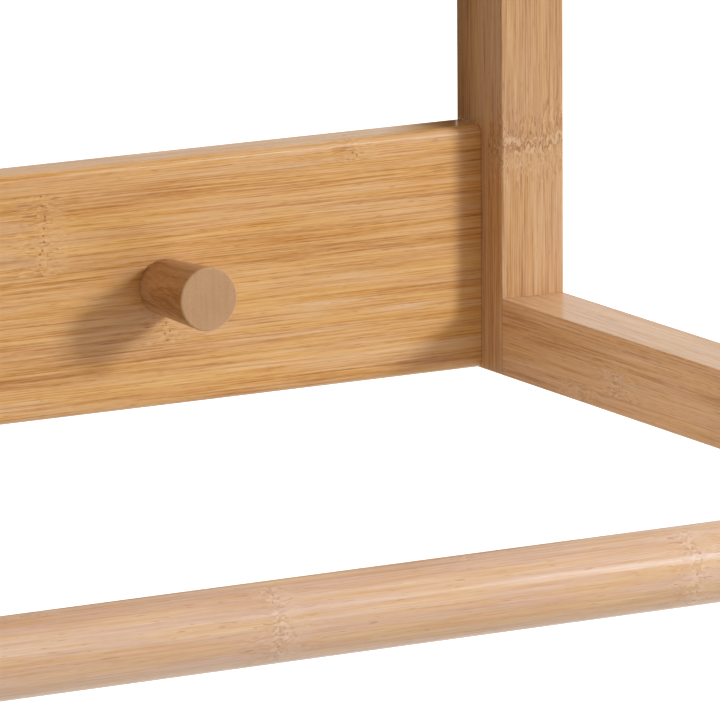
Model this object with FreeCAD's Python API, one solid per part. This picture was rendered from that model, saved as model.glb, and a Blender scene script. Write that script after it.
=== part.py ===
import FreeCAD, Part
import math
import os

# Wall-mounted bamboo towel rack, in millimetres.
# +X runs to the right along the wall, +Y goes into the wall, +Z is up, so the front faces -Y.
# The origin is midway between the two wall screw holes, on the wall plane (y = 0).

Vector = FreeCAD.Vector

# Overall sizes
overall_width = 600.0
overall_height = 280.0
overall_depth = 315.0

# Side frames: one post at the wall and two arms butted to its front face
post_width = 20.5
post_depth = 25.0
arm_height = 22.0
post_edge_radius = 0.7
arm_edge_radius = 0.6

# Board that carries the pegs, low between the posts
peg_board_thickness = 14.0
peg_board_height = 70.0
peg_board_lift = 0.3
board_edge_radius = 2.5

# Rail that takes the wall screws, high between the posts
hanging_rail_thickness = 14.0
hanging_rail_height = 50.0
hanging_rail_drop = 2.0
wall_screw_spacing = 400.0
wall_screw_hole_diameter = 5.0
wall_screw_sink_diameter = 10.0
wall_screw_sink_depth = 2.5

# Round rail for the towels, between the front ends of the lower arms
towel_rail_diameter = 20.6
towel_rail_setback = 16.0
towel_rail_tenon_diameter = 14.0
towel_rail_tenon_length = 10.0

# Shelf between the upper arms
front_rail_depth = 18.0
front_rail_edge_radius = 1.5
slat_count = 7
slat_width = 28.0
slat_thickness = 12.0
slat_edge_radius = 1.5
slat_tenon_width = 20.0
slat_tenon_thickness = 6.0
slat_tenon_wall = 1.5

# Pegs: cones that widen outwards and lean slightly upwards
peg_count = 4
peg_end_distance = 102.4
peg_centre_height = 34.5
peg_length = 26.0
peg_base_diameter = 15.6
peg_end_diameter = 17.9
peg_end_round = 0.6
peg_lean = 1.5
peg_tenon_diameter = 10.0
peg_tenon_length = 10.0

# Screws from the wall side through the posts into the arms
arm_screw_diameter = 5.0
arm_screw_length = 55.0
arm_screw_head_diameter = 9.0
arm_screw_head_height = 2.8
arm_screw_offset = 5.0

# Screws from the outer sides into the ends of the boards and of the shelf's front rail
frame_screw_diameter = 4.0
frame_screw_length = 45.0
frame_screw_head_diameter = 7.5
frame_screw_head_height = 2.2
frame_screw_from_edge = 14.0
front_rail_screw_offset = 4.5

# Wooden dowels beside the screws
dowel_diameter = 6.0
dowel_length = 22.0
dowel_depth_in_frame = 10.0
arm_dowel_offset = 5.0
front_rail_dowel_offset = 5.0

# Hex sockets of the screws, across the flats
socket_width = 3.0
socket_depth = 1.6

# Clearances
glue_gap = 0.05
bottom_gap = 0.5
head_recess = 0.4
peg_shoulder_gap = 0.05

# Derived places
half_width = overall_width / 2
inner_half = half_width - post_width
post_centre_x = half_width - post_width / 2
top = hanging_rail_height / 2 + hanging_rail_drop
bottom = top - overall_height
post_front = -post_depth
arm_front = -overall_depth
lower_arm_centre = bottom + arm_height / 2
upper_arm_centre = top - arm_height / 2
board_bottom = bottom + peg_board_lift
board_face = -peg_board_thickness
towel_rail_y = arm_front + towel_rail_setback
front_rail_back = arm_front + front_rail_depth
slat_tenon_length = (post_width - arm_screw_diameter) / 2 - slat_tenon_wall
slat_gap = (post_front - front_rail_back - slat_count * slat_width) / (slat_count + 1)
peg_height = bottom + peg_centre_height
peg_pitch = 2 * (inner_half - peg_end_distance) / (peg_count - 1)

X_AXIS = Vector(1, 0, 0)
Y_AXIS = Vector(0, 1, 0)


def is_long_edge(edge, axis):
    """True where a straight edge runs along the axis (0 for X, 1 for Y, 2 for Z)."""
    step = edge.Vertexes[-1].Point - edge.Vertexes[0].Point
    return abs(step[axis]) > 0.999 * step.Length


def lies_in_plane(edge, axis, place):
    """True where both ends of an edge lie in a plane square to the axis."""
    return all(abs(v.Point[axis] - place) < 1e-6 for v in edge.Vertexes)


def bar(low, high, axis, radius, free_ends=()):
    """A straight piece between two corners, its long edges and its free ends' edges rounded."""
    size = high - low
    solid = Part.makeBox(size.x, size.y, size.z, low)
    edges = []
    for edge in solid.Edges:
        at_free_end = any(lies_in_plane(edge, axis, place) for place in free_ends)
        if is_long_edge(edge, axis) or at_free_end:
            edges.append(edge)
    return solid.makeFillet(radius, edges)


def rod(start, direction, diameter, length):
    """A plain round rod."""
    return Part.makeCylinder(diameter / 2, length, start, direction)


def cut_all(solid, tools):
    """The solid with every tool cut out of it."""
    for tool in tools:
        solid = solid.cut(tool)
    return solid


def hex_prism(start, direction, width, depth):
    """A prism with six sides, width across its flats."""
    side_wise = Vector(0, 0, 1) * (width / 2 / math.cos(math.pi / 6))
    corners = []
    for step in range(7):
        turn = FreeCAD.Rotation(direction, 60 * step)
        corners.append(start + turn.multVec(side_wise))
    return Part.Face(Part.makePolygon(corners)).extrude(direction * depth)


def screw(start, direction, diameter, length, head_diameter, head_height):
    """A countersunk screw whose flat head starts at start, with a hex socket in it."""
    head = Part.makeCone(head_diameter / 2, diameter / 2, head_height, start, direction)
    shank_start = start + direction * head_height
    shank = rod(shank_start, direction, diameter, length - head_height)
    socket = hex_prism(start, direction, socket_width, socket_depth)
    return head.fuse(shank).cut(socket).removeSplitter()


def screw_hole(start, direction, diameter, length, head_diameter, head_height):
    """The room for a screw whose head sits head_recess below start."""
    mouth = rod(start, direction, head_diameter + 2 * glue_gap, head_recess)
    sink_start = start + direction * head_recess
    sink = Part.makeCone(
        head_diameter / 2 + glue_gap, diameter / 2 + glue_gap, head_height, sink_start, direction
    )
    shank = rod(start, direction, diameter + 2 * glue_gap, length + head_recess + bottom_gap)
    return mouth.fuse([sink, shank])


def arm_screw_starts(side):
    """Where the heads of the two arm screws of one side meet the wall plane."""
    x = side * post_centre_x
    low = Vector(x, 0, lower_arm_centre - arm_screw_offset)
    high = Vector(x, 0, upper_arm_centre + arm_screw_offset)
    return [low, high]


def arm_dowel_starts(side):
    """The wall-side ends of the two arm dowels of one side."""
    x = side * post_centre_x
    y = post_front + dowel_depth_in_frame
    low = Vector(x, y, lower_arm_centre + arm_dowel_offset)
    high = Vector(x, y, upper_arm_centre - arm_dowel_offset)
    return [low, high]


def frame_screw_starts(side):
    """Where the heads of the sideways screws of one side meet the outer face."""
    x = side * half_width
    board_y = board_face / 2
    rail_y = -hanging_rail_thickness / 2
    board_top = board_bottom + peg_board_height
    rail_bottom = -hanging_rail_height / 2
    rail_top = hanging_rail_height / 2
    front_y = (arm_front + front_rail_back) / 2
    return [
        Vector(x, board_y, board_bottom + frame_screw_from_edge),
        Vector(x, board_y, board_top - frame_screw_from_edge),
        Vector(x, rail_y, rail_bottom + frame_screw_from_edge),
        Vector(x, rail_y, rail_top - frame_screw_from_edge),
        Vector(x, front_y, upper_arm_centre + front_rail_screw_offset),
    ]


def frame_dowel_starts(side):
    """The outer ends of the sideways dowels of one side."""
    x = side * (inner_half + dowel_depth_in_frame)
    front_y = (arm_front + front_rail_back) / 2
    return [
        Vector(x, board_face / 2, board_bottom + peg_board_height / 2),
        Vector(x, -hanging_rail_thickness / 2, 0),
        Vector(x, front_y, upper_arm_centre - front_rail_dowel_offset),
    ]


def arm_screw_holes():
    tools = []
    for side in (-1, 1):
        for start in arm_screw_starts(side):
            tools.append(screw_hole(start, -Y_AXIS, *arm_screw_sizes))
    return tools


def frame_screw_holes():
    tools = []
    for side in (-1, 1):
        for start in frame_screw_starts(side):
            tools.append(screw_hole(start, -X_AXIS * side, *frame_screw_sizes))
    return tools


def dowel_hole(start, direction):
    """A bore for a dowel, with a little room at both ends."""
    early = start - direction * bottom_gap
    return rod(early, direction, dowel_diameter + 2 * glue_gap, dowel_length + 2 * bottom_gap)


def dowel_holes():
    tools = []
    for side in (-1, 1):
        tools += [dowel_hole(start, -Y_AXIS) for start in arm_dowel_starts(side)]
        tools += [dowel_hole(start, -X_AXIS * side) for start in frame_dowel_starts(side)]
    return tools


def slat_front(index):
    """The front face of a shelf slat, counted from the front of the shelf."""
    return front_rail_back + slat_gap + index * (slat_width + slat_gap)


def slat_tenon(index, side, room):
    """The tenon at one end of a slat, or with room the mortise that takes it."""
    middle = slat_front(index) + slat_width / 2
    size_y = slat_tenon_width + 2 * room
    size_z = slat_tenon_thickness + 2 * room
    length = slat_tenon_length + (bottom_gap if room else 0)
    low_x = inner_half if side > 0 else -inner_half - length
    low_z = top - slat_thickness / 2 - size_z / 2
    return Part.makeBox(length, size_y, size_z, Vector(low_x, middle - size_y / 2, low_z))


def towel_rail_bore(side):
    start = Vector(side * inner_half, towel_rail_y, lower_arm_centre)
    diameter = towel_rail_tenon_diameter + 2 * glue_gap
    return rod(start, X_AXIS * side, diameter, towel_rail_tenon_length + bottom_gap)


def peg_axis():
    lean = math.radians(peg_lean)
    return Vector(0, -math.cos(lean), math.sin(lean))


def peg_place(index):
    """Where a peg's axis meets the front face of the board, counted from the left."""
    x = peg_end_distance - inner_half + index * peg_pitch
    return Vector(x, board_face, peg_height)


def peg_bore(index):
    start = peg_place(index) + peg_axis()
    depth = peg_tenon_length + bottom_gap + 1
    return rod(start, -peg_axis(), peg_tenon_diameter + 2 * glue_gap, depth)


def make_post(side):
    low = Vector(side * post_centre_x - post_width / 2, post_front, bottom)
    high = Vector(side * post_centre_x + post_width / 2, 0, top)
    return bar(low, high, 2, post_edge_radius, (bottom, top))


def make_arm(side, centre_z):
    low = Vector(side * post_centre_x - post_width / 2, arm_front, centre_z - arm_height / 2)
    high = Vector(side * post_centre_x + post_width / 2, post_front, centre_z + arm_height / 2)
    return bar(low, high, 1, arm_edge_radius, (arm_front,))


def make_peg_board():
    low = Vector(-inner_half, board_face, board_bottom)
    high = Vector(inner_half, 0, board_bottom + peg_board_height)
    board = bar(low, high, 0, board_edge_radius)
    return cut_all(board, [peg_bore(i) for i in range(peg_count)])


def make_hanging_rail():
    low = Vector(-inner_half, -hanging_rail_thickness, -hanging_rail_height / 2)
    high = Vector(inner_half, 0, hanging_rail_height / 2)
    rail = bar(low, high, 0, board_edge_radius)
    for side in (-1, 1):
        mouth = Vector(side * wall_screw_spacing / 2, -hanging_rail_thickness, 0)
        sink = Part.makeCone(
            wall_screw_sink_diameter / 2,
            wall_screw_hole_diameter / 2,
            wall_screw_sink_depth,
            mouth,
            Y_AXIS,
        )
        hole = rod(mouth, Y_AXIS, wall_screw_hole_diameter, hanging_rail_thickness)
        rail = cut_all(rail, [sink, hole])
    return rail


def make_front_rail():
    low = Vector(-inner_half, arm_front, upper_arm_centre - arm_height / 2)
    high = Vector(inner_half, front_rail_back, upper_arm_centre + arm_height / 2)
    return bar(low, high, 0, front_rail_edge_radius)


def make_slat(index):
    low = Vector(-inner_half, slat_front(index), top - slat_thickness)
    high = Vector(inner_half, slat_front(index) + slat_width, top)
    slat = bar(low, high, 0, slat_edge_radius)
    return slat.fuse([slat_tenon(index, side, 0) for side in (-1, 1)]).removeSplitter()


def make_towel_rail():
    start = Vector(-inner_half, towel_rail_y, lower_arm_centre)
    body = rod(start, X_AXIS, towel_rail_diameter, 2 * inner_half)
    tenon_start = start - X_AXIS * towel_rail_tenon_length
    full_length = 2 * (inner_half + towel_rail_tenon_length)
    tenons = rod(tenon_start, X_AXIS, towel_rail_tenon_diameter, full_length)
    return body.fuse(tenons).removeSplitter()


def make_peg(index):
    place = peg_place(index)
    axis = peg_axis()
    growth = (peg_end_diameter - peg_base_diameter) / 2 / peg_length
    early = 1.0
    base_radius = peg_base_diameter / 2 - growth * early
    cone = Part.makeCone(
        base_radius, peg_end_diameter / 2, peg_length + early, place - axis * early, axis
    )
    rim = max(cone.Edges, key=lambda edge: edge.BoundBox.Center.dot(axis))
    cone = cone.makeFillet(peg_end_round, [rim])
    reach = peg_length + peg_end_diameter
    face = board_face - peg_shoulder_gap
    room = Part.makeBox(
        2 * reach, reach, 2 * reach, Vector(place.x - reach, face - reach, place.z - reach)
    )
    tenon = rod(place + axis, -axis, peg_tenon_diameter, peg_tenon_length + 1)
    return cone.common(room).fuse(tenon).removeSplitter()


def make_arm_screws():
    solids = []
    for side in (-1, 1):
        for start in arm_screw_starts(side):
            solids.append(screw(start - Y_AXIS * head_recess, -Y_AXIS, *arm_screw_sizes))
    return Part.makeCompound(solids)


def make_frame_screws():
    solids = []
    for side in (-1, 1):
        inwards = -X_AXIS * side
        for start in frame_screw_starts(side):
            solids.append(screw(start + inwards * head_recess, inwards, *frame_screw_sizes))
    return Part.makeCompound(solids)


def make_dowels():
    solids = []
    for side in (-1, 1):
        for start in arm_dowel_starts(side):
            solids.append(rod(start, -Y_AXIS, dowel_diameter, dowel_length))
        for start in frame_dowel_starts(side):
            solids.append(rod(start, -X_AXIS * side, dowel_diameter, dowel_length))
    return Part.makeCompound(solids)


arm_screw_sizes = (
    arm_screw_diameter,
    arm_screw_length,
    arm_screw_head_diameter,
    arm_screw_head_height,
)
frame_screw_sizes = (
    frame_screw_diameter,
    frame_screw_length,
    frame_screw_head_diameter,
    frame_screw_head_height,
)


def build():
    """Every piece of the rack by its node's name."""
    parts = {}
    joinery = arm_screw_holes() + frame_screw_holes() + dowel_holes()
    for side, word in ((-1, "left"), (1, "right")):
        parts["post_" + word] = cut_all(make_post(side), joinery)
        lower = cut_all(make_arm(side, lower_arm_centre), joinery)
        parts["lower_arm_" + word] = lower.cut(towel_rail_bore(side))
        upper = cut_all(make_arm(side, upper_arm_centre), joinery)
        mortises = [slat_tenon(i, side, glue_gap) for i in range(slat_count)]
        parts["upper_arm_" + word] = cut_all(upper, mortises)
    parts["peg_board"] = cut_all(make_peg_board(), joinery)
    parts["hanging_rail"] = cut_all(make_hanging_rail(), joinery)
    parts["shelf_front_rail"] = cut_all(make_front_rail(), joinery)
    for index in range(slat_count):
        parts["shelf_slat_%d" % (index + 1)] = make_slat(index)
    parts["towel_rail"] = make_towel_rail()
    for index in range(peg_count):
        parts["peg_%d" % (index + 1)] = make_peg(index)
    parts["arm_screws"] = make_arm_screws()
    parts["frame_screws"] = make_frame_screws()
    parts["dowel_pins"] = make_dowels()
    return parts


os.makedirs("parts", exist_ok=True)
for name, shape in build().items():
    shape.exportStep("parts/" + name + ".step")
    print(name, len(shape.Solids), "solids, volume", round(shape.Volume), "valid", shape.isValid())
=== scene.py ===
import math
import random
import bmesh
import bpy
from mathutils import Matrix, Vector


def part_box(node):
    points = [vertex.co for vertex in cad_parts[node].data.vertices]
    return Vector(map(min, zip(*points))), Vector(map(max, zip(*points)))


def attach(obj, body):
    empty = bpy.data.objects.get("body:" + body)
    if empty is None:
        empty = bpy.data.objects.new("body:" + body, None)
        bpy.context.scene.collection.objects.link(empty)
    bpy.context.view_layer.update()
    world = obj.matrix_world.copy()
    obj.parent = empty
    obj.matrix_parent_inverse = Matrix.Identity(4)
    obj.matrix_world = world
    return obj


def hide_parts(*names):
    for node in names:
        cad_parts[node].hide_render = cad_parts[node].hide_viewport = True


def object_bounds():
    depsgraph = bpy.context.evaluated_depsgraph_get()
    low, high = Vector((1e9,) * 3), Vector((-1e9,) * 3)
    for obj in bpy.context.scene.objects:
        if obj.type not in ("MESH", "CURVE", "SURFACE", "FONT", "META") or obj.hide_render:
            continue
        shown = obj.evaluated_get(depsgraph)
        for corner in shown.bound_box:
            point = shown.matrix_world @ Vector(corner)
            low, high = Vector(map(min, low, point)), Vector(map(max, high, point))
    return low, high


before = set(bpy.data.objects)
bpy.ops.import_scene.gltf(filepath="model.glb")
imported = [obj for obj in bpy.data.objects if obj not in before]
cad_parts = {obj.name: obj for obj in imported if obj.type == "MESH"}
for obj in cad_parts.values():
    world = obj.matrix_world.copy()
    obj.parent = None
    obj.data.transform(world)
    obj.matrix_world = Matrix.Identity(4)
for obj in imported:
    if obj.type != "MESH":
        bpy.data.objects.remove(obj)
cadLow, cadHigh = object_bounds()
print("frame loaded")


# Nodes: one call adds a node, sets it up and links or fills its inputs in order

def put(tree, kind, *values, **settings):
    node = tree.nodes.new(kind)
    for setting, value in settings.items():
        setattr(node, setting, value)
    for number, value in enumerate(values):
        if isinstance(value, bpy.types.NodeSocket):
            tree.links.new(value, node.inputs[number])
        elif value is not None:
            node.inputs[number].default_value = value
    return node


def maths(tree, operation, *values):
    return put(tree, "ShaderNodeMath", *values, operation=operation).outputs[0]


def scale(tree, place, factors):
    return put(tree, "ShaderNodeVectorMath", place, factors, operation="MULTIPLY").outputs[0]


def shift(tree, place, by):
    return put(tree, "ShaderNodeVectorMath", place, by, operation="ADD").outputs[0]


def shapePlace(tree):
    return put(tree, "ShaderNodeTexCoord").outputs["Object"]


def rise(tree, value, start, end, low=0.0, high=1.0):
    # 0 before start, 1 after end, smooth between them
    node = put(tree, "ShaderNodeMapRange", value, start, end, low, high, interpolation_type="SMOOTHSTEP")
    return node.outputs[0]


def mixColours(tree, amount, first, second, way="MIX"):
    node = put(tree, "ShaderNodeMix", data_type="RGBA", blend_type=way)
    for socket, value in (("Factor", amount), ("A", first), ("B", second)):
        target = [each for each in node.inputs if each.name == socket and each.enabled][0]
        if isinstance(value, bpy.types.NodeSocket):
            tree.links.new(value, target)
        elif socket == "Factor":
            target.default_value = value
        else:
            target.default_value = (*value, 1)
    return [each for each in node.outputs if each.enabled][0]


def ramp(tree, value, stops):
    node = put(tree, "ShaderNodeValToRGB", value)
    elements = node.color_ramp.elements
    for number, (position, colour) in enumerate(stops):
        element = elements[number] if number < 2 else elements.new(position)
        element.position = position
        element.color = (*colour, 1)
    return node.outputs["Color"]


def noise(tree, place, sizes, detail):
    scaled = scale(tree, place, [1 / size for size in sizes])
    return put(tree, "ShaderNodeTexNoise", scaled, None, 1.0, detail, 0.55).outputs[0]


def newMaterial(name):
    material = bpy.data.materials.new(name)
    material.use_nodes = True
    return material, material.node_tree, material.node_tree.nodes["Principled BSDF"]


def addBump(tree, shader, height, strength, distance):
    bump = put(tree, "ShaderNodeBump", strength, distance)
    tree.links.new(height, bump.inputs["Height"])
    tree.links.new(bump.outputs[0], shader.inputs["Normal"])


# Laminated bamboo. The pattern is solid: it is laid out in millimetres along the grain,
# across the strips and through the layers, so faces, edges and ends of a bar agree.

bamboo = {
    "stripWidth": 22.9,
    "layerHeight": 7.4,
    "stagger": 0.37,          # how far each layer's strips are set over, in strips
    "knuckleStep": 240.0,     # between two knuckles of one strip
    "crooked": 4.5,           # how far a knuckle's row of pits strays from a straight line
    "pitCell": 1.9,
    "glueLine": 0.13,
    "paintedJointShade": 0.55,             # how far the painted shade in the joint reaches in from a bar's end
    "bump": (0.6, 0.000012),  # strength and height
    "specular": 0.3,
    # how strongly each mark covers the wood under it
    "greyShare": 0.5, "scarShare": 0.4, "dashShare": 0.55,
    # the last share is for the painted shade in the joint at a bar's end
    "pitShare": 0.8, "lineShare": 0.35, "paintedJointShadeShare": 0.55,
    "dashLimit": 0.665,       # the higher it is, the fewer dark fibres there are
    # how deep the marks go against the fibres' own relief
    "dashDepth": 0.6, "pitDepth": 8.0, "lineDepth": 2.0,
    "tints": ((1.03, 1.0, 0.84), (0.99, 1.0, 1.15)),
    # roughness of the lacquered surface, and weight and roughness of the lacquer's own gloss
    "gloss": ((0.40, 0.52), 0.5, 0.15),
    "shelfGloss": ((0.60, 0.70), 0.12, 0.40),
}

# marks at a knuckle, in millimetres along the strip from it: where each starts, is full,
# begins to fade and ends, or, alike on both sides, where it ends and within what it is full
knuckle = {
    "grey": (-30.0, -4.0, -3.0, 1.0),
    "crowd": (-14.0, -3.0, 0.0, 9.0),
    "scar": (0.5, 3.0, 4.5, 9.0),
    "swerve": (15.0, 1.5),
    "row": (2.2, 1.0),
    "pale": (3.4, 1.4),
    "curls": (3.2, 1.2),
}

# each kind of streak: its length along the grain and width across it, and its detail
grain = {
    "fine": (26.0, 0.36, 2.0),
    "flecks": (4.0, 0.5, 1.0),
    "middle": (80.0, 1.8, 2.0),
    "broad": (160.0, 8.0, 1.0),
    "tint": (45.0, 3.2, 2.0),
    "orange": (48.0, 0.34, 1.0),
    "dashes": (6.0, 0.45, 1.0),
    "crooked": (400.0, 5.0, 1.0),
    "swerve": (4.0, 1.6, 1.0),
    "grey": (14.0, 3.0, 1.0),
    "scar": (3.0, 1.6, 1.0),
    "bulges": (2.0, 1.1, 1.0),
}

# colours of each wood from dark to pale, then of its marks, and how strong each kind of mark is

boardWood = {
    "ramp": [(0.20, (0.399, 0.168, 0.038)), (0.42, (0.619, 0.330, 0.109)), (0.58, (0.690, 0.417, 0.172)),
             (0.80, (0.737, 0.506, 0.275))],
    "orange": (0.604, 0.262, 0.062),
    "grey": (0.582, 0.367, 0.200),
    "pale": (0.784, 0.566, 0.303),
    "dash": (0.367, 0.150, 0.039),
    "fine": 1.08, "flecks": 0.25, "middle": 0.44, "broad": 0.45, "strips": 0.10,
    "lines": 0.45, "tint": 1.0, "swerve": 1.2, "dots": 1.0, "curls": 0.12, "crowd": 0.09,
}
frameWood = {
    "ramp": [(0.20, (0.355, 0.179, 0.070)), (0.42, (0.535, 0.310, 0.143)), (0.58, (0.580, 0.364, 0.189)),
             (0.80, (0.617, 0.434, 0.261))],
    "orange": (0.511, 0.260, 0.097),
    "grey": (0.455, 0.262, 0.128),
    "pale": (0.660, 0.482, 0.303),
    "dash": (0.290, 0.125, 0.043),
    "fine": 1.35, "flecks": 0.22, "middle": 0.45, "broad": 0.28, "strips": 0.16,
    "lines": 0.40, "tint": 0.7, "swerve": 3.4, "dots": 0.5, "curls": 0.78, "crowd": 0.16,
}
armWood = {
    "ramp": [(0.20, (0.427, 0.226, 0.099)), (0.42, (0.614, 0.377, 0.197)), (0.58, (0.661, 0.429, 0.247)),
             (0.80, (0.698, 0.504, 0.327))],
    "orange": (0.555, 0.300, 0.120),
    "grey": (0.594, 0.433, 0.306),
    "pale": (0.708, 0.534, 0.371),
    "dash": (0.357, 0.175, 0.082),
    "fine": 1.08, "flecks": 0.32, "middle": 0.45, "broad": 0.30, "strips": 0.12,
    "lines": 0.40, "tint": 0.6, "swerve": 3.4, "dots": 0.3, "curls": 0.55, "crowd": 0.08,
}
railWood = {
    "ramp": [(0.20, (0.590, 0.340, 0.186)), (0.42, (0.662, 0.434, 0.276)), (0.58, (0.709, 0.494, 0.338)),
             (0.80, (0.765, 0.575, 0.432))],
    "orange": (0.643, 0.327, 0.148),
    "grey": (0.600, 0.375, 0.225),
    "pale": (0.795, 0.630, 0.507),
    "dash": (0.430, 0.205, 0.098),
    "fine": 0.75, "flecks": 0.22, "middle": 0.65, "broad": 0.36, "strips": 0.10,
    "lines": 0.28, "tint": 0.9, "swerve": 2.4, "dots": 0.6, "curls": 0.35, "crowd": 0.05,
}


def weigh(tree, parts):
    # 0.5 plus how far each value is from 0.5, times its weight
    total = 0.5
    for value, weight in parts:
        total = maths(tree, "MULTIPLY_ADD", maths(tree, "SUBTRACT", value, 0.5), weight, total)
    return total


def times(tree, *values):
    total = values[0]
    for value in values[1:]:
        total = maths(tree, "MULTIPLY", total, value)
    return total


def inMillimetres(tree, place, axes):
    split = put(tree, "ShaderNodeSeparateXYZ", place)
    return [maths(tree, "MULTIPLY", split.outputs["xyz".index(axis)], 1000.0) for axis in axes]


def streaks(tree, place, kind):
    length, width, detail = grain[kind]
    return noise(tree, place, (length, width, width), detail)


def stretch(tree, away, kind):
    # 1 inside a stretch beside the knuckle, fading to 0 towards both of its ends
    start, startFull, endFull, end = knuckle[kind]
    return times(tree, rise(tree, away, start, startFull), rise(tree, away, end, endFull))


def makeBamboo(name, wood, axes, stripStart, layerStart, seed, side=1, knuckleShift=0.0, ends=None,
               gloss="gloss", knuckleStep=None):
    # ends are where the bar's grain meets its neighbours, and side is which way its knuckles face
    material, tree, shader = newMaterial(name)
    step = knuckleStep or bamboo["knuckleStep"]
    along, across, through = inMillimetres(tree, shapePlace(tree), axes)

    # which strip and which layer, and three chances for that strip
    deep = maths(tree, "DIVIDE", maths(tree, "SUBTRACT", through, layerStart), bamboo["layerHeight"])
    layer = maths(tree, "FLOOR", deep)
    wide = maths(tree, "DIVIDE", maths(tree, "SUBTRACT", across, stripStart), bamboo["stripWidth"])
    wide = maths(tree, "MULTIPLY_ADD", layer, bamboo["stagger"], wide)
    strip = maths(tree, "FLOOR", wide)
    cell = put(tree, "ShaderNodeCombineXYZ", maths(tree, "ADD", strip, 0.5),
               maths(tree, "ADD", layer, 0.5), seed + 0.5)
    chance = put(tree, "ShaderNodeTexWhiteNoise", cell.outputs[0], noise_dimensions="3D")
    own = put(tree, "ShaderNodeSeparateColor", chance.outputs["Color"])

    # distance along the strip to its nearest knuckle, on a slightly crooked line
    place = put(tree, "ShaderNodeCombineXYZ", along, across, through).outputs[0]
    place = shift(tree, place, scale(tree, chance.outputs["Color"], (700.0, 700.0, 700.0)))
    crooked = streaks(tree, place, "crooked")
    turn = maths(tree, "DIVIDE", maths(tree, "SUBTRACT", along, knuckleShift), step)
    turn = maths(tree, "SUBTRACT", turn, chance.outputs["Value"])
    away = maths(tree, "MULTIPLY", maths(tree, "SUBTRACT", maths(tree, "FRACT", turn), 0.5), step * side)
    away = maths(tree, "MULTIPLY_ADD", maths(tree, "SUBTRACT", crooked, 0.5), bamboo["crooked"], away)
    off = maths(tree, "ABSOLUTE", away)
    near = rise(tree, off, *knuckle["swerve"])

    # fibres swerve round the knuckle
    swerve = maths(tree, "SUBTRACT", streaks(tree, place, "swerve"), 0.5)
    swerve = times(tree, swerve, near, wood["swerve"])
    bent = shift(tree, place, put(tree, "ShaderNodeCombineXYZ", 0.0, swerve, swerve).outputs[0])

    fine = streaks(tree, bent, "fine")
    tone = weigh(tree, [
        (fine, wood["fine"]),
        (streaks(tree, bent, "flecks"), wood["flecks"]),
        (streaks(tree, bent, "middle"), wood["middle"]),
        (streaks(tree, place, "broad"), wood["broad"]),
        (own.outputs[1], wood["strips"]),
    ])
    colour = ramp(tree, tone, wood["ramp"])

    # yellower and pinker fibres, then thin orange ones
    tint = rise(tree, streaks(tree, bent, "tint"), 0.30, 0.70)
    tint = mixColours(tree, tint, *bamboo["tints"])
    colour = mixColours(tree, wood["tint"], colour, tint, "MULTIPLY")
    lines = rise(tree, streaks(tree, bent, "orange"), 0.55, 0.68)
    colour = mixColours(tree, times(tree, lines, wood["lines"]), colour, wood["orange"])

    # beside a knuckle: greyer on one side, a pale scar on the other
    grey = rise(tree, streaks(tree, place, "grey"), 0.45, 0.65)
    grey = times(tree, grey, stretch(tree, away, "grey"), bamboo["greyShare"])
    colour = mixColours(tree, grey, colour, wood["grey"])
    scar = times(tree, stretch(tree, away, "scar"), streaks(tree, bent, "scar"))
    colour = mixColours(tree, times(tree, scar, bamboo["scarShare"]), colour, wood["ramp"][3][1])

    # short dark fibres, many near a knuckle and few elsewhere
    crowd = stretch(tree, away, "crowd")
    limit = maths(tree, "MULTIPLY_ADD", crowd, -wood["crowd"], bamboo["dashLimit"])
    dashes = maths(tree, "SUBTRACT", streaks(tree, bent, "dashes"), limit)
    dashes = rise(tree, dashes, 0.0, 0.10)
    colour = mixColours(tree, times(tree, dashes, bamboo["dashShare"]), colour, wood["dash"])

    # a row of small round pits in pale patches, among curled fibres
    row = rise(tree, off, *knuckle["row"])
    size = bamboo["pitCell"]
    grid = scale(tree, place, (1 / size, 1 / size, 0.3 / size))
    spots = put(tree, "ShaderNodeTexVoronoi", grid, None, 1.0).outputs["Distance"]
    bulges = streaks(tree, place, "bulges")
    pale = times(tree, rise(tree, off, *knuckle["pale"]), rise(tree, bulges, 0.47, 0.60))
    colour = mixColours(tree, times(tree, pale, 0.25 + 0.45 * wood["curls"]), colour, wood["pale"])
    pits = times(tree, row, rise(tree, spots, 0.26, 0.13), wood["dots"])
    curls = rise(tree, maths(tree, "ABSOLUTE", maths(tree, "SUBTRACT", bulges, 0.47)), 0.045, 0.012)
    curls = times(tree, curls, rise(tree, off, *knuckle["curls"]), wood["curls"])
    pits = maths(tree, "MAXIMUM", pits, curls)
    colour = mixColours(tree, times(tree, pits, bamboo["pitShare"]), colour, wood["dash"])

    # glue lines between strips and layers, and painted shade in the joint where the bar meets its
    # neighbours
    layerEdge = times(tree, maths(tree, "PINGPONG", deep, 0.5), bamboo["layerHeight"])
    stripEdge = times(tree, maths(tree, "PINGPONG", wide, 0.5), bamboo["stripWidth"])
    line = bamboo["glueLine"]
    glued = rise(tree, maths(tree, "MINIMUM", layerEdge, stripEdge), line, line * 0.3)
    colour = mixColours(tree, times(tree, glued, bamboo["lineShare"]), colour, wood["dash"])
    # painted shade, standing for the shadow in the joint gap where the bar's end meets a neighbour
    if ends:
        beyond = maths(tree, "MAXIMUM", maths(tree, "SUBTRACT", along, ends[1]),
                       maths(tree, "SUBTRACT", ends[0], along))
        paintedJointShade = rise(tree, beyond, -bamboo["paintedJointShade"], -0.2)
        colour = mixColours(tree, times(tree, paintedJointShade, bamboo["paintedJointShadeShare"]), colour, wood["dash"])
    tree.links.new(colour, shader.inputs["Base Color"])

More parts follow.
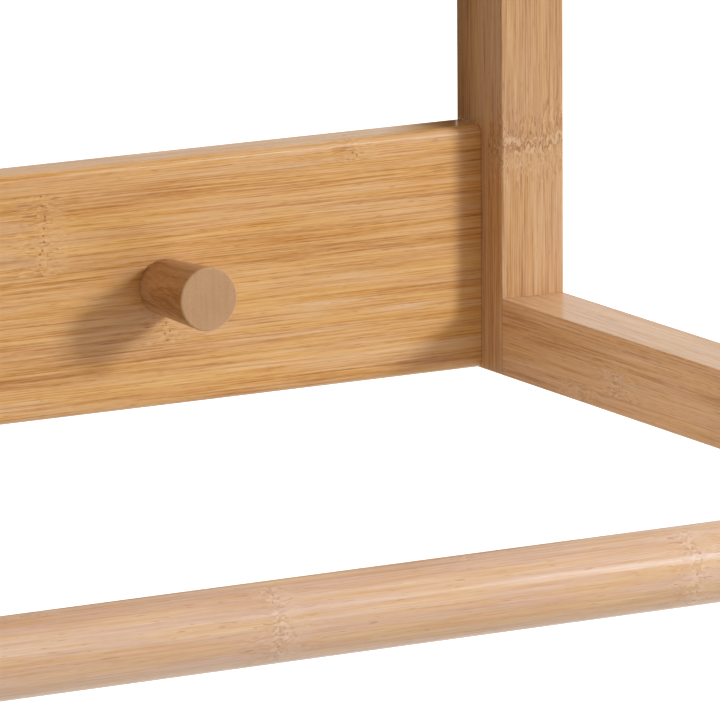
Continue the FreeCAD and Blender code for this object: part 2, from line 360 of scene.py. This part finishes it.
    (smooth, rough), coat, coatRoughness = bamboo[gloss]
    tree.links.new(rise(tree, fine, 0.3, 0.7, rough, smooth), shader.inputs["Roughness"])
    height = maths(tree, "SUBTRACT", fine, times(tree, dashes, bamboo["dashDepth"]))
    height = maths(tree, "SUBTRACT", height, times(tree, pits, bamboo["pitDepth"]))
    height = maths(tree, "SUBTRACT", height, times(tree, glued, bamboo["lineDepth"]))
    addBump(tree, shader, height, *bamboo["bump"])
    shader.inputs["Specular IOR Level"].default_value = bamboo["specular"]
    shader.inputs["Coat Weight"].default_value = coat
    shader.inputs["Coat Roughness"].default_value = coatRoughness
    return material


def finishNode(name, material):
    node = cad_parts[name]
    node.data.materials.clear()
    node.data.materials.append(material)


# Where each bar's strips and layers start, in millimetres, and the chance number that
# places its knuckles: grain direction, direction across the strips, direction through the layers
innerLow, innerHigh = [1000 * corner.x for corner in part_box("peg_board")]
postFront = 1000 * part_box("post_left")[0].y
between = (innerLow, innerHigh)
toPost = (-1000.0, postFront)
bars = {
    "post_left": (frameWood, "zxy", -301.5, -25.1, 7100, 1, 0.0, None),
    "post_right": (frameWood, "zxy", 278.5, -25.1, 5453, -1, 0.0, None),
    "lower_arm_left": (armWood, "yxz", -301.5, -255.8, 912, 1, 0.0, toPost),
    "lower_arm_right": (armWood, "yxz", 278.5, -255.8, 35895, 1, 0.0, toPost),
    "upper_arm_left": (frameWood, "yxz", -301.5, 2.2, 31, 1, 0.0, toPost, "shelfGloss"),
    "upper_arm_right": (frameWood, "yxz", 278.5, 2.2, 78, 1, 0.0, toPost, "shelfGloss"),
    "peg_board": (boardWood, "xzy", -211.9, -14.3, 24726, 1, -2.9, between),
    "hanging_rail": (boardWood, "xzy", -14.0, -14.3, 415, 1, 0.0, between),
    "shelf_front_rail": (frameWood, "xyz", -318.0, 2.2, 58, 1, 0.0, between, "shelfGloss"),
}

for name, choices in bars.items():
    finishNode(name, makeBamboo(name + "Bamboo", *choices))
for number in range(1, 8):
    name = "shelf_slat_%d" % number
    stripStart = 1000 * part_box(name)[0].y - 3.0 * (number % 4)
    finishNode(name, makeBamboo(name + "Bamboo", frameWood, "xyz", stripStart, 12.3, 200 + number,
                                ends=between, gloss="shelfGloss"))
finishNode("towel_rail", makeBamboo("towelRailBamboo", railWood, "xzy", -253.5, -309.5, 5672,
                                    ends=between, knuckleStep=120.0))
print("bamboo made")


# Beech of the pegs and dowels. Its growth lines stand upright and run along Y.

beech = {
    "pale": (0.585, 0.370, 0.205),
    "middle": (0.535, 0.308, 0.147),
    "dark": (0.380, 0.190, 0.075),
    "fleck": (0.270, 0.115, 0.040),
    "endGrey": (0.510, 0.323, 0.186),
    "endDark": (0.430, 0.255, 0.140),
    # noise sizes along the grain, through the growth layers and upright, and its detail
    "growth": ((60.0, 0.75, 14.0), 2.0),
    "fine": ((7.0, 0.28, 0.45), 2.0),
    "broad": ((50.0, 7.0, 9.0), 1.0),
    "flecks": ((2.6, 0.30, 0.42), 1.0),
    "speckle": ((4.0, 0.32, 0.32), 1.0),
    "weights": (0.8, 0.8, 0.5),  # of growth, fine and broad
    # how strongly each mark covers the wood under it
    # the last share is for the painted highlight on the rounded rim, with its lighter fuzz
    "fleckShare": 0.4, "endShare": 0.72, "speckleShare": 0.45, "rimHighlightAndFuzzShare": 0.45,
    "roughness": (0.46, 0.58),
    "bump": (0.6, 0.000012),
    "specular": 0.3,
}


def makeBeech(name, axes):
    material, tree, shader = newMaterial(name)
    places = put(tree, "ShaderNodeTexCoord")
    millimetres = inMillimetres(tree, places.outputs["Object"], axes)
    place = put(tree, "ShaderNodeCombineXYZ", *millimetres).outputs[0]
    growth, fine, broad, flecks, speckle = [noise(tree, place, *beech[kind]) for kind in
                                            ("growth", "fine", "broad", "flecks", "speckle")]
    tone = weigh(tree, zip((growth, fine, broad), beech["weights"]))
    colour = ramp(tree, tone, [(0.28, beech["dark"]), (0.5, beech["middle"]), (0.74, beech["pale"])])
    flecks = rise(tree, flecks, 0.60, 0.70)
    colour = mixColours(tree, times(tree, flecks, beech["fleckShare"]), colour, beech["fleck"])

    # paler and greyer on the sawn end. Palest on its rounded rim: a painted highlight where the rim
    # catches the light, with a lighter fuzz on it
    facing = put(tree, "ShaderNodeSeparateXYZ", places.outputs["Normal"]).outputs["xyz".index(axes[0])]
    facing = maths(tree, "ABSOLUTE", facing)
    end = rise(tree, facing, 0.75, 0.97)
    colour = mixColours(tree, times(tree, end, beech["endShare"]), colour, beech["endGrey"])
    speckle = times(tree, rise(tree, speckle, 0.48, 0.62), end, beech["speckleShare"])
    colour = mixColours(tree, speckle, colour, beech["endDark"])
    rimHighlightAndFuzz = times(tree, rise(tree, facing, 0.2, 0.5), rise(tree, facing, 0.995, 0.9))
    colour = mixColours(tree, times(tree, rimHighlightAndFuzz, beech["rimHighlightAndFuzzShare"]), colour, beech["pale"])
    tree.links.new(colour, shader.inputs["Base Color"])
    smooth, rough = beech["roughness"]
    tree.links.new(rise(tree, fine, 0.3, 0.7, rough, smooth), shader.inputs["Roughness"])
    addBump(tree, shader, maths(tree, "SUBTRACT", fine, flecks), *beech["bump"])
    shader.inputs["Specular IOR Level"].default_value = beech["specular"]
    return material


# Zinc plated steel of the screws

steel = {
    "bright": (0.66, 0.66, 0.64),
    "dull": (0.47, 0.47, 0.46),
    # noise scale and detail
    "clouds": (700.0, 3.0),
    "grains": (3500.0, 2.0),
    "roughness": (0.26, 0.44),
    "bump": (0.5, 0.00001),
}


def makeSteel(name):
    material, tree, shader = newMaterial(name)
    place = shapePlace(tree)
    clouds = put(tree, "ShaderNodeTexNoise", place, None, *steel["clouds"]).outputs[0]
    grains = put(tree, "ShaderNodeTexNoise", place, None, *steel["grains"]).outputs[0]
    tone = weigh(tree, [(clouds, 1.2), (grains, 0.6)])
    colour = mixColours(tree, rise(tree, tone, 0.3, 0.7), steel["dull"], steel["bright"])
    tree.links.new(colour, shader.inputs["Base Color"])
    smooth, rough = steel["roughness"]
    tree.links.new(rise(tree, tone, 0.3, 0.7, rough, smooth), shader.inputs["Roughness"])
    addBump(tree, shader, grains, *steel["bump"])
    shader.inputs["Metallic"].default_value = 1.0
    return material


screwSteel = makeSteel("zincSteel")
finishNode("arm_screws", screwSteel)
finishNode("frame_screws", screwSteel)
finishNode("dowel_pins", makeBeech("dowelBeech", "yxz"))
print("steel and dowels made")


def addPiece(name, build, material):
    # build fills an empty bmesh, and the piece rides on the rack's one body
    shape = bmesh.new()
    build(shape)
    bmesh.ops.recalc_face_normals(shape, faces=shape.faces)
    mesh = bpy.data.meshes.new(name)
    shape.to_mesh(mesh)
    shape.free()
    for face in mesh.polygons:
        face.use_smooth = True
    mesh.materials.append(material)
    piece = bpy.data.objects.new(name, mesh)
    bpy.context.collection.objects.link(piece)
    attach(piece, "root")
    return piece


def addRings(shape, rings):
    # skin a row of closed rings of points and cap both ends
    made = [[shape.verts.new(point) for point in ring] for ring in rings]
    for first, second in zip(made, made[1:]):
        for corner in range(len(first)):
            after = (corner + 1) % len(first)
            shape.faces.new((first[corner], first[after], second[after], second[corner]))
    for ring in (made[0], made[-1]):
        centre = shape.verts.new(sum((point.co for point in ring), Vector()) / len(ring))
        for corner in range(len(ring)):
            shape.faces.new((ring[corner], ring[(corner + 1) % len(ring)], centre))


# Pegs, turned from beech: a tenon in the board, then a body that widens to its free end

peg = {
    "around": 96,
    "lean": 1.5,             # degrees up from level
    "length": 26.0,
    "baseRadius": 7.8,
    "endRadius": 8.95,
    "tenonRadius": 5.0,
    "tenonLength": 10.0,
    "tenonChamfer": 0.4,
    "shoulderGap": 0.05,
    "baseEase": 0.25,        # small round where the body starts
    "endRound": 0.6,
    "endCrown": 0.12,        # how much the free end stands out in its middle
    "settle": 3.0,           # from the board to where the rings stand square to the axis
}


def makePeg(number, material):
    low, high = [1000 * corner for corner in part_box("peg_%d" % number)]
    boardFace = 1000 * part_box("peg_board")[0].y
    lean = math.radians(peg["lean"])
    axis = Vector((0, -math.cos(lean), math.sin(lean)))
    upward = Vector((0, math.sin(lean), math.cos(lean)))
    sideways = Vector((1, 0, 0))
    height = high.z - peg["length"] * math.sin(lean) - peg["endRadius"] * math.cos(lean)
    start = Vector(((low.x + high.x) / 2, boardFace, height))
    growth = (peg["endRadius"] - peg["baseRadius"]) / peg["length"]
    shoulder, ease, endRound = peg["shoulderGap"], peg["baseEase"], peg["endRound"]
    face = peg["length"] - peg["endCrown"]

    # distance from the board along the axis, and radius
    tenonEnd, tenonRadius, chamfer = -peg["tenonLength"], peg["tenonRadius"], peg["tenonChamfer"]
    profile = [(tenonEnd, tenonRadius - chamfer), (chamfer + tenonEnd, tenonRadius),
               (shoulder, tenonRadius), (shoulder, peg["baseRadius"] - 2 * ease)]
    for step in range(4):
        turn = math.radians(30 * step)
        profile.append((shoulder + ease * (1 - math.cos(turn)),
                        peg["baseRadius"] - ease * (1 - math.sin(turn))))
    for share in (0.02, 0.05, 0.25, 0.5, 0.75, 0.95):
        profile.append((share * peg["length"], peg["baseRadius"] + growth * share * peg["length"]))
    for step in range(9):
        turn = math.radians(11.25 * step)
        profile.append((face - endRound * (1 - math.sin(turn)),
                        peg["endRadius"] - endRound * (1 - math.cos(turn))))
    flat = peg["endRadius"] - endRound
    for share in (0.97, 0.85, 0.6, 0.3, 0.1):
        profile.append((face + peg["endCrown"] * (1 - share * share), flat * share))

    def build(shape):
        rings = []
        for distance, radius in profile:
            ring = []
            for corner in range(peg["around"]):
                turn = 2 * math.pi * corner / peg["around"]
                point = start + radius * (math.cos(turn) * sideways + math.sin(turn) * upward)
                # the body is cut flat against the board, the rest is square to the leaning axis
                slide = distance
                if distance >= 0:
                    flatness = max(0.0, 1 - distance / peg["settle"])
                    slide += radius * math.sin(turn) * math.sin(lean) * flatness
                ring.append((point + slide * axis) / 1000)
            rings.append(ring)
        addRings(shape, rings)

    piece = addPiece("turnedPeg%d" % number, build, material)
    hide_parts("peg_%d" % number)


pegBeech = makeBeech("pegBeech", "yxz")
for number in range(1, 5):
    makePeg(number, pegBeech)
print("pegs turned")


# Dried glue, squeezed out where the tops of the two boards meet the posts

glue = {
    "pale": (0.80, 0.66, 0.54),
    "dark": (0.50, 0.27, 0.15),
    "clouds": (900.0, 2.0),  # noise scale and detail
    "roughness": (0.25, 0.45),
    "bump": (0.5, 0.00003),
    "radius": (0.10, 0.42),
    "wander": 0.06,          # how far the bead strays from its straight line
    "sink": 0.04,            # how far it dips
    "step": 0.4,
    "around": 8,
    "inset": (1.5, 2.2),     # from the board's back and front
}


def makeGlueMaterial():
    material, tree, shader = newMaterial("driedGlue")
    clouds = put(tree, "ShaderNodeTexNoise", shapePlace(tree), None, *glue["clouds"]).outputs[0]
    colour = mixColours(tree, rise(tree, clouds, 0.35, 0.65), glue["dark"], glue["pale"])
    tree.links.new(colour, shader.inputs["Base Color"])
    smooth, rough = glue["roughness"]
    tree.links.new(rise(tree, clouds, 0.3, 0.7, rough, smooth), shader.inputs["Roughness"])
    addBump(tree, shader, clouds, *glue["bump"])
    return material


def makeGlue(name, x, start, end, height, chance):
    # one uneven bead along Y in the corner at x and height, in millimetres
    def build(shape):
        count = int(abs(end - start) / glue["step"]) + 1
        thin, thick = glue["radius"]
        wander = glue["wander"]
        rings = []
        for place in range(count):
            radius = thin + (thick - thin) * chance.random() ** 2.2
            if place in (0, count - 1):
                radius = thin
            y = start + (end - start) * place / (count - 1)
            centre = Vector((x + chance.uniform(-wander, wander), y,
                             height + chance.uniform(-glue["sink"], wander)))
            ring = []
            for corner in range(glue["around"]):
                turn = 2 * math.pi * corner / glue["around"]
                ring.append((centre + radius * Vector((math.cos(turn), 0, math.sin(turn)))) / 1000)
            rings.append(ring)
        addRings(shape, rings)

    addPiece(name, build, glueMaterial)


glueMaterial = makeGlueMaterial()
chance = random.Random(7)
fromBack, fromFront = glue["inset"]
for board in ("peg_board", "hanging_rail"):
    low, high = [1000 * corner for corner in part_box(board)]
    for word, x in (("left", low.x), ("right", high.x)):
        makeGlue("%s_glue_%s" % (board, word), x, high.y - fromBack, low.y + fromFront, high.z, chance)
print("glue beads made")


# Studio

studio = {
    "floorDrop": 6.0,        # the floor is this far below the lowest arm
    "floorSize": 80.0,
    "floorTone": 0.9,
    "floorRoughness": 0.9,
    "floorGlow": 0.75,
    "keyTarget": (0.20, -0.10, -0.20),
    "keyTurn": 42.5,         # degrees to the right of the rack's front
    "keyRise": 21.0,
    "keyDistance": 1.7,
    "keySize": (0.34, 0.34),
    "keyPower": 18.9,
    "keyColour": (0.955, 0.985, 1.0),
    # a small shaded lamp on the left, just above the towel rail, for the inner side of the lower arm
    "armLampPlace": (0.00, -0.32, -0.19),
    "armLampTarget": (0.29, -0.098, -0.245),
    "armLampSize": (0.05, 0.05),
    "armLampSpread": 28.0,
    "armLampPower": 0.0125,
    # a tall lamp seen only in the gloss of the rail and of the boards' rounded edges
    "glintPlace": (2.26, -3.13, 1.58),
    "glintTarget": (0.22, -0.20, -0.22),
    "glintSize": (0.5, 1.0),
    "glintPower": 15.0,
    "glintColour": (0.66, 0.86, 1.0),
    # what surrounds the rack: turn round it from the left side anticlockwise, brightness, colour
    "surround": [
        (0.00, 1.24, (1.0, 0.87, 0.77)),
        (0.06, 0.50, (1.0, 0.80, 0.61)),
        (0.14, 0.32, (1.0, 0.81, 0.66)),
        (0.25, 0.44, (1.0, 0.89, 0.79)),
        (0.36, 1.04, (1.0, 0.93, 0.87)),
        (0.45, 0.98, (1.0, 0.97, 0.94)),
        (0.55, 1.60, (1.0, 0.98, 0.95)),
        (0.62, 1.25, (1.0, 0.96, 0.91)),
        (0.68, 0.78, (1.0, 0.92, 0.85)),
        (0.80, 0.42, (1.0, 0.82, 0.66)),
    ],
    # how bright it is halfway down, straight below and straight above, against that
    "belowLevels": (1.25, 0.65),
    "aboveLevel": 0.90,
    # a card behind the peg board that darkens towards the right post: width, gap behind the
    # board, and brightness and colour away from the post and at it
    "shadeWidth": 0.0275,
    "shadeGap": 0.0005,
    "shadeLevels": (0.93, 0.0),
    "shadeColours": ((1.0, 0.97, 0.94), (1.0, 0.66, 0.42)),
}

view = {
    "lens": 470.64,
    "place": (-1.0437, -2.2740, 0.2877),
    "turn": 29.588,
    "tilt": 11.608,
    "roll": -0.378,
}


def makeWorld():
    world = bpy.data.worlds.new("studioWorld")
    bpy.context.scene.world = world
    world.use_nodes = True
    tree = world.node_tree
    place = put(tree, "ShaderNodeTexCoord").outputs["Generated"]
    turn = put(tree, "ShaderNodeTexGradient", place, gradient_type="RADIAL").outputs["Fac"]
    around = ramp(tree, turn, [(position, tuple(level * part for part in colour))
                               for position, level, colour in studio["surround"]])
    height = put(tree, "ShaderNodeSeparateXYZ", place).outputs["Z"]
    halfway, lowest = studio["belowLevels"]
    below = times(tree, rise(tree, height, 0.0, -0.5, 1.0, halfway),
                  rise(tree, height, -0.5, -1.0, 1.0, lowest / halfway))
    above = rise(tree, height, 0.0, 1.0, 1.0, studio["aboveLevel"])
    level = put(tree, "ShaderNodeVectorMath", around, operation="SCALE")
    tree.links.new(maths(tree, "MULTIPLY", below, above), level.inputs["Scale"])
    seen = put(tree, "ShaderNodeLightPath").outputs["Is Camera Ray"]
    colour = mixColours(tree, seen, level.outputs[0], (1, 1, 1))
    tree.links.new(colour, tree.nodes["Background"].inputs["Color"])


def addCard(name, corners, material):
    mesh = bpy.data.meshes.new(name)
    mesh.from_pydata(corners, [], [(0, 1, 2, 3)])
    mesh.materials.append(material)
    card = bpy.data.objects.new(name, mesh)
    bpy.context.collection.objects.link(card)
    return card


def makeFloor():
    half = studio["floorSize"] / 2
    height = cadLow.z - studio["floorDrop"]
    material, tree, shader = newMaterial("paleFloor")
    shader.inputs["Base Color"].default_value = (*[studio["floorTone"]] * 3, 1)
    shader.inputs["Roughness"].default_value = studio["floorRoughness"]
    shader.inputs["Emission Color"].default_value = (1, 1, 1, 1)
    shader.inputs["Emission Strength"].default_value = studio["floorGlow"]
    corners = [(-half, -half, height), (half, -half, height), (half, half, height), (-half, half, height)]
    floor = addCard("floor", corners, material)
    floor.visible_diffuse = False
    floor.visible_glossy = False


def makeShade():
    # stands for the shade that the right post throws along a wall, which the board's top picks
    # up. The camera doesn't see it, and it throws no shadow
    boardLow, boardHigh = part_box("peg_board")
    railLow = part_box("hanging_rail")[0]
    left = boardHigh.x - studio["shadeWidth"]
    back = boardHigh.y + studio["shadeGap"]
    corners = [(left, back, boardHigh.z), (boardHigh.x, back, boardHigh.z),
               (boardHigh.x, back, railLow.z), (left, back, railLow.z)]
    material, tree, shader = newMaterial("wallShade")
    x = put(tree, "ShaderNodeSeparateXYZ", shapePlace(tree)).outputs["X"]
    bright, dark = studio["shadeLevels"]
    nearer = rise(tree, x, left, boardHigh.x)
    level = maths(tree, "MULTIPLY_ADD", nearer, dark - bright, bright)
    tree.links.new(level, shader.inputs["Emission Strength"])
    tree.links.new(mixColours(tree, nearer, *studio["shadeColours"]), shader.inputs["Emission Color"])
    shader.inputs["Base Color"].default_value = (0, 0, 0, 1)
    shader.inputs["Specular IOR Level"].default_value = 0.0
    shade = addCard("wallShade", corners, material)
    shade.visible_camera = False
    shade.visible_shadow = False


def makeLight(name, place, target, size, power, colour=(1, 1, 1)):
    light = bpy.data.lights.new(name, "AREA")
    light.shape = "RECTANGLE"
    light.size, light.size_y = size
    light.energy = power
    light.color = colour
    lamp = bpy.data.objects.new(name, light)
    bpy.context.collection.objects.link(lamp)
    lamp.location = place
    lamp.rotation_mode = "QUATERNION"
    lamp.rotation_quaternion = (Vector(place) - Vector(target)).to_track_quat("Z", "Y")
    lamp.visible_camera = False
    return lamp


def makeLights():
    target = Vector(studio["keyTarget"])
    turn = math.radians(studio["keyTurn"])
    lift = math.radians(studio["keyRise"])
    away = Vector((math.sin(turn) * math.cos(lift), -math.cos(turn) * math.cos(lift), math.sin(lift)))
    key = makeLight("keyLight", target + away * studio["keyDistance"], target, studio["keySize"],
                    studio["keyPower"], studio["keyColour"])
    armLamp = makeLight("armLamp", studio["armLampPlace"], studio["armLampTarget"], studio["armLampSize"],
                        studio["armLampPower"])
    armLamp.data.spread = math.radians(studio["armLampSpread"])
    # two lamps only shade, and the glint lamp is what the gloss shows
    glint = makeLight("glintLamp", studio["glintPlace"], studio["glintTarget"], studio["glintSize"],
                      studio["glintPower"], studio["glintColour"])
    key.visible_glossy = False
    armLamp.visible_glossy = False
    glint.visible_diffuse = False


def makeCamera():
    camera = bpy.data.cameras.new("camera")
    camera.sensor_width = 36
    camera.lens = view["lens"]
    camera.clip_start = 0.1
    camera.clip_end = 200
    holder = bpy.data.objects.new("camera", camera)
    bpy.context.collection.objects.link(holder)
    turn = Matrix.Rotation(-math.radians(view["turn"]), 4, "Z")
    tilt = Matrix.Rotation(math.radians(90 - view["tilt"]), 4, "X")
    roll = Matrix.Rotation(math.radians(view["roll"]), 4, "Z")
    holder.matrix_world = Matrix.Translation(view["place"]) @ turn @ tilt @ roll
    bpy.context.scene.camera = holder


bpy.context.scene.view_settings.view_transform = "Standard"
makeWorld()
makeFloor()
makeShade()
makeLights()
makeCamera()
print("studio lit")
